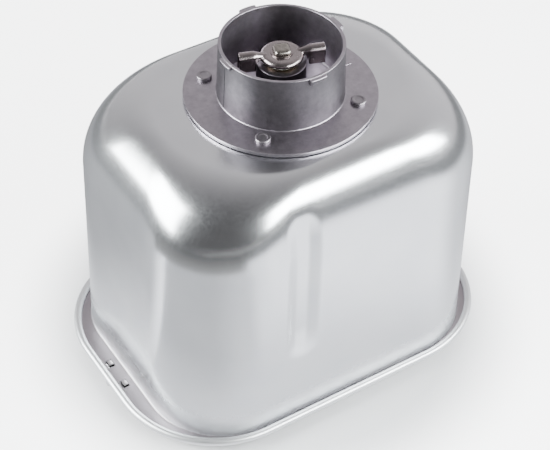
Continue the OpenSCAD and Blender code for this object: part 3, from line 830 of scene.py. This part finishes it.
def tab_part(side, sign):
    """A tab bent up out of the plate into its slot, with a rounded top and gaps round it."""
    top, low = RIM_Z + SHEET + 0.45, RIM_Z - 0.7
    y0, y1 = sign * SLOT_GAP / 2 - 1.4, sign * SLOT_GAP / 2 + 2.2
    path = rounded_path([(y0, low, 0), (y1, low, 0), (y1, top, 0.7), (y0, top, 0.9)], 6)
    return mirrored(extruded(path, SLOT_X - 1.7, SLOT_X + 0.9), side)


def bracket_body(side, name):
    """Plate with windows at the slots, and the pivot lug with its hole."""
    plate_z = RIM_Z - BRACKET_T
    lug_x0 = RIM_X - BAIL_INSET + ELBOW_GAP + FREE_GAP
    x0, x1 = SLOT_X - SLOT_WID / 2 - 1, lug_x0 + LUG_T
    plate = rounded_path([(x0, -BRACKET_HALF, 1.5), (x1, -BRACKET_HALF, 3),
                          (x1, BRACKET_HALF, 3), (x0, BRACKET_HALF, 1.5)], 6)
    sheet = loft([np.column_stack([plate, np.full(len(plate), z)]) for z in (plate_z, RIM_Z)])
    lug_path = rounded_path([(-PIVOT_HALF, 0, 1.4), (PIVOT_HALF, 0, 1.4),
                             (PIVOT_HALF, plate_z + 0.3, 0), (-PIVOT_HALF, plate_z + 0.3, 0)], 6)
    parts = [mirrored(part, side) for part in (sheet, extruded(lug_path, lug_x0, x1))]
    bracket = mesh_object(name, *joined(parts), [MAT_BRACKET])
    turn = np.linspace(0, 2 * math.pi, 48, endpoint=False)
    hole = np.column_stack([np.cos(turn), np.sin(turn)]) * (BAIL_R + RUN_GAP) + (0, PIVOT_Z)
    cut(bracket, mirrored(extruded(hole, lug_x0 - 1, x1 + 1), side))
    cut(bracket, joined(slot_boxes(side, plate_z - 1, RIM_Z + 1)))
    return bracket


def bracket_tabs(side, name):
    """The two tabs of a bracket, with their sides coloured near black: painted shade in the gaps round
    them.
    """
    parts = joined([tab_part(side, sign) for sign in (-1, 1)])
    tabs = mesh_object(name, *parts, [MAT_BRACKET, MAT_TAB_SIDE_SHADE])
    # Faces that don't face upward get the near-black painted-shade steel.
    for face in tabs.data.polygons:
        face.material_index = int(face.normal.z < 0.5)
    return tabs


def make_bracket(side, node, name):
    """Handle bracket and its tabs, with softened edges."""
    bracket = bracket_body(side, name)
    tabs = bracket_tabs(side, name + "_tabs")
    for obj in (bracket, tabs):
        bevel = obj.modifiers.new("soft_edges", "BEVEL")
        bevel.width = 0.15 * MM
        bevel.segments = 2
        bevel.limit_method = "ANGLE"
        apply_modifiers(obj)
        shade(obj, 40)
    keep(bracket, "pan", "bracket_steel", node)
    keep(tabs, "pan", "bracket_steel")


# ---- CAD nodes that stay ----
def dress_nodes():
    """Gives each CAD node that stays its material."""
    finishes = {"rim_wire": MAT_WIRE, "base_gasket": MAT_GASKET,
                "upper_bush": MAT_BRONZE, "lower_bush": MAT_BRONZE,
                "shaft_seal": MAT_SEAL, "seal_spring": MAT_WIRE, "seal_cap": MAT_COUPLING,
                "inner_thrust_washer": MAT_NYLON, "outer_thrust_washer": MAT_NYLON,
                "shaft_circlip": MAT_SHAFT, "drive_shaft": MAT_SHAFT,
                "coupling_spacer": MAT_SHAFT, "coupling_washer": MAT_COUPLING}
    for node, material in finishes.items():
        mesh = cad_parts[node].data
        mesh.materials.clear()
        mesh.materials.append(material)


# ---- Studio ----
def make_camera():
    """A long lens from the front left and above, rolled a little."""
    azimuth, elevation, roll = (math.radians(a) for a in (-33.38, 43.94, 1.61))
    back = Vector((math.sin(azimuth) * math.cos(elevation), -math.cos(azimuth) * math.cos(elevation),
                   math.sin(elevation)))
    right = Vector((math.cos(azimuth), math.sin(azimuth), 0))
    up = back.cross(right)
    right, up = right * math.cos(roll) + up * math.sin(roll), up * math.cos(roll) - right * math.sin(roll)
    # From this height on the drive axis the camera sits back, and the frame is centred a little off it
    aim, distance, left, down = Vector((0, 0, RIM_Z + 75)), 850, 1.2, 10.24
    data = bpy.data.cameras.new("camera")
    data.lens = 107.75
    camera = bpy.data.objects.new("camera", data)
    place = aim - right * left - up * down + back * distance
    turn = Matrix((right, up, back)).transposed().to_4x4()
    camera.matrix_world = Matrix.Translation(place * MM) @ turn
    bpy.context.scene.collection.objects.link(camera)
    bpy.context.scene.camera = camera


def softbox(name, azimuth, distance, low, high, width, radiance):
    """An upright rectangular soft light that stands round the part and faces it, in degrees and metres."""
    a = math.radians(azimuth)
    data = bpy.data.lights.new(name, "AREA")
    data.shape = "RECTANGLE"
    data.size, data.size_y = width, high - low
    data.energy = radiance * math.pi * width * (high - low)
    data.color = (0.955, 1.0, 1.0)
    light = bpy.data.objects.new(name, data)
    light.location = (distance * math.cos(a), distance * math.sin(a), (low + high) / 2)
    light.rotation_euler = (math.radians(90), 0, a + math.radians(90))
    light.visible_camera = False
    bpy.context.scene.collection.objects.link(light)


def make_world(dark, bright, azimuth):
    """Even surroundings that brighten smoothly from one side of the room to the other."""
    world = bpy.data.worlds.new("studio")
    world.use_nodes = True
    tree = world.node_tree
    place = tree.nodes.new("ShaderNodeTexCoord")
    side = tree.nodes.new("ShaderNodeVectorMath")
    side.operation = "DOT_PRODUCT"
    a = math.radians(azimuth)
    side.inputs[1].default_value = (math.cos(a), math.sin(a), 0)
    tree.links.new(place.outputs["Generated"], side.inputs[0])
    share = mapped(tree, side.outputs["Value"], -1, 1)
    curve = computed(tree, "POWER", share, 2.2)
    sky = tree.nodes["Background"]
    sky.inputs["Color"].default_value = (1.0, 0.965, 0.995, 1)
    tree.links.new(mapped(tree, curve, 0, 1, dark, bright), sky.inputs["Strength"])
    bpy.context.scene.world = world


def only_reflected(obj):
    """Puts a stage piece where only reflections see it."""
    obj.visible_camera = obj.visible_diffuse = obj.visible_shadow = False


def dark_card(azimuth, spread, distance, height):
    """A curved card that only reflections see. It shades from the floor's tone up to black."""
    turn = np.radians(np.linspace(azimuth - spread / 2, azimuth + spread / 2, 25))
    rings = [np.column_stack([distance * np.cos(turn), distance * np.sin(turn), np.full(len(turn), z)])
             for z in (1, height)]
    n = len(turn)
    faces = [(i, i + 1, n + i + 1, n + i) for i in range(n - 1)]
    surface = Surface("shaded_card", (0.01, 0.01, 0.01), 0.0, 1.0)
    surface.light_up(mapped(surface.tree, surface.height(), 0, height * MM, 0.4, 0.02))
    only_reflected(mesh_object("shaded_card", np.concatenate(rings), faces, [surface.material]))


# Brightness of the floor round the part, by azimuth in degrees, and the level that counts as white
GLOW_STOPS = [(-180, 0.85), (-140, 0.95), (-112, 1.25), (-95, 2.2), (-83, 2.7), (-52, 2.7), (-25, 1.4),
              (5, 0.8), (70, 0.7), (100, 0.4), (140, 0.62), (165, 0.9), (180, 0.85)]
GLOW_PEAK = 3


def glow_round_part(surface):
    """The floor's brightness by azimuth, as a share of GLOW_PEAK."""
    angle = surface.nodes.new("ShaderNodeTexGradient")
    angle.gradient_type = "RADIAL"
    surface.links.new(surface.place, angle.inputs["Vector"])
    side = surface.nodes.new("ShaderNodeValToRGB")
    side.color_ramp.interpolation = "EASE"
    ends = {0: side.color_ramp.elements[0], len(GLOW_STOPS) - 1: side.color_ramp.elements[1]}
    for k, (azimuth, brightness) in enumerate(GLOW_STOPS):
        stop = ends[k] if k in ends else side.color_ramp.elements.new((azimuth + 180) / 360)
        stop.color = (*[brightness / GLOW_PEAK] * 3, 1)
    surface.links.new(angle.outputs["Fac"], side.inputs["Fac"])
    return side.outputs["Color"]


def change_over(surface, start, end):
    """A mix from its input A to its input B between two distances from the part."""
    mix = surface.nodes.new("ShaderNodeMix")
    blend = mapped(surface.tree, surface.reach(), start * MM, end * MM, smooth=True)
    surface.links.new(blend, mix.inputs["Factor"])
    return mix


def floor_glow(outer, near, horizon):
    """The floor outside the rim as only reflections see it: bright before the key light and dim elsewhere.

    near is its brightness beside the part and horizon far out. Between them it changes with azimuth."""
    surface = Surface("floor_glow", (0.01, 0.01, 0.01), 0.0, 1.0)
    first, second = change_over(surface, 95, 165), change_over(surface, 380, 560)
    first.inputs["A"].default_value = near / GLOW_PEAK
    surface.links.new(glow_round_part(surface), first.inputs["B"])
    surface.links.new(first.outputs["Result"], second.inputs["A"])
    second.inputs["B"].default_value = horizon / GLOW_PEAK
    brightness = computed(surface.tree, "MULTIPLY", second.outputs["Result"], GLOW_PEAK)
    surface.light_up(brightness, (0.965, 0.985, 1.035))
    edge = outline(RIM_X, RIM_Y, RIM_R)
    n = len(edge)
    rings = [np.column_stack([edge * share, np.full(n, 0.3)]) for share in (1, outer / RIM_X)]
    faces = [(i, n + i, n + (i + 1) % n, (i + 1) % n) for i in range(n)]
    only_reflected(mesh_object("floor_glow", np.concatenate(rings), faces, [surface.material]))


def make_studio():
    """Pale floor, even surroundings and two large upright soft lights."""
    half = 6000
    floor = mesh_object("floor", [(-half, -half, 0), (half, -half, 0), (half, half, 0), (-half, half, 0)],
                        [(0, 1, 2, 3)], [pale_floor()])
    make_world(dark=0.09, bright=1.10, azimuth=38)
    dark_card(azimuth=-150, spread=84, distance=300, height=118)
    floor_glow(outer=6200, near=1.65, horizon=0.2)
    softbox("front_right", azimuth=-56, distance=0.5, low=0.245, high=0.50, width=0.66, radiance=23)
    softbox("back_left", azimuth=158, distance=1.8, low=0.30, high=1.78, width=1.40, radiance=22)


make_camera()
make_pan()
make_base()
make_rivets()
make_coupling()
make_shaft()
make_tip()
make_bail()
make_bracket(-1, "bracket_left", "left_bracket")
make_bracket(1, "bracket_right", "right_bracket")
dress_nodes()
make_studio()
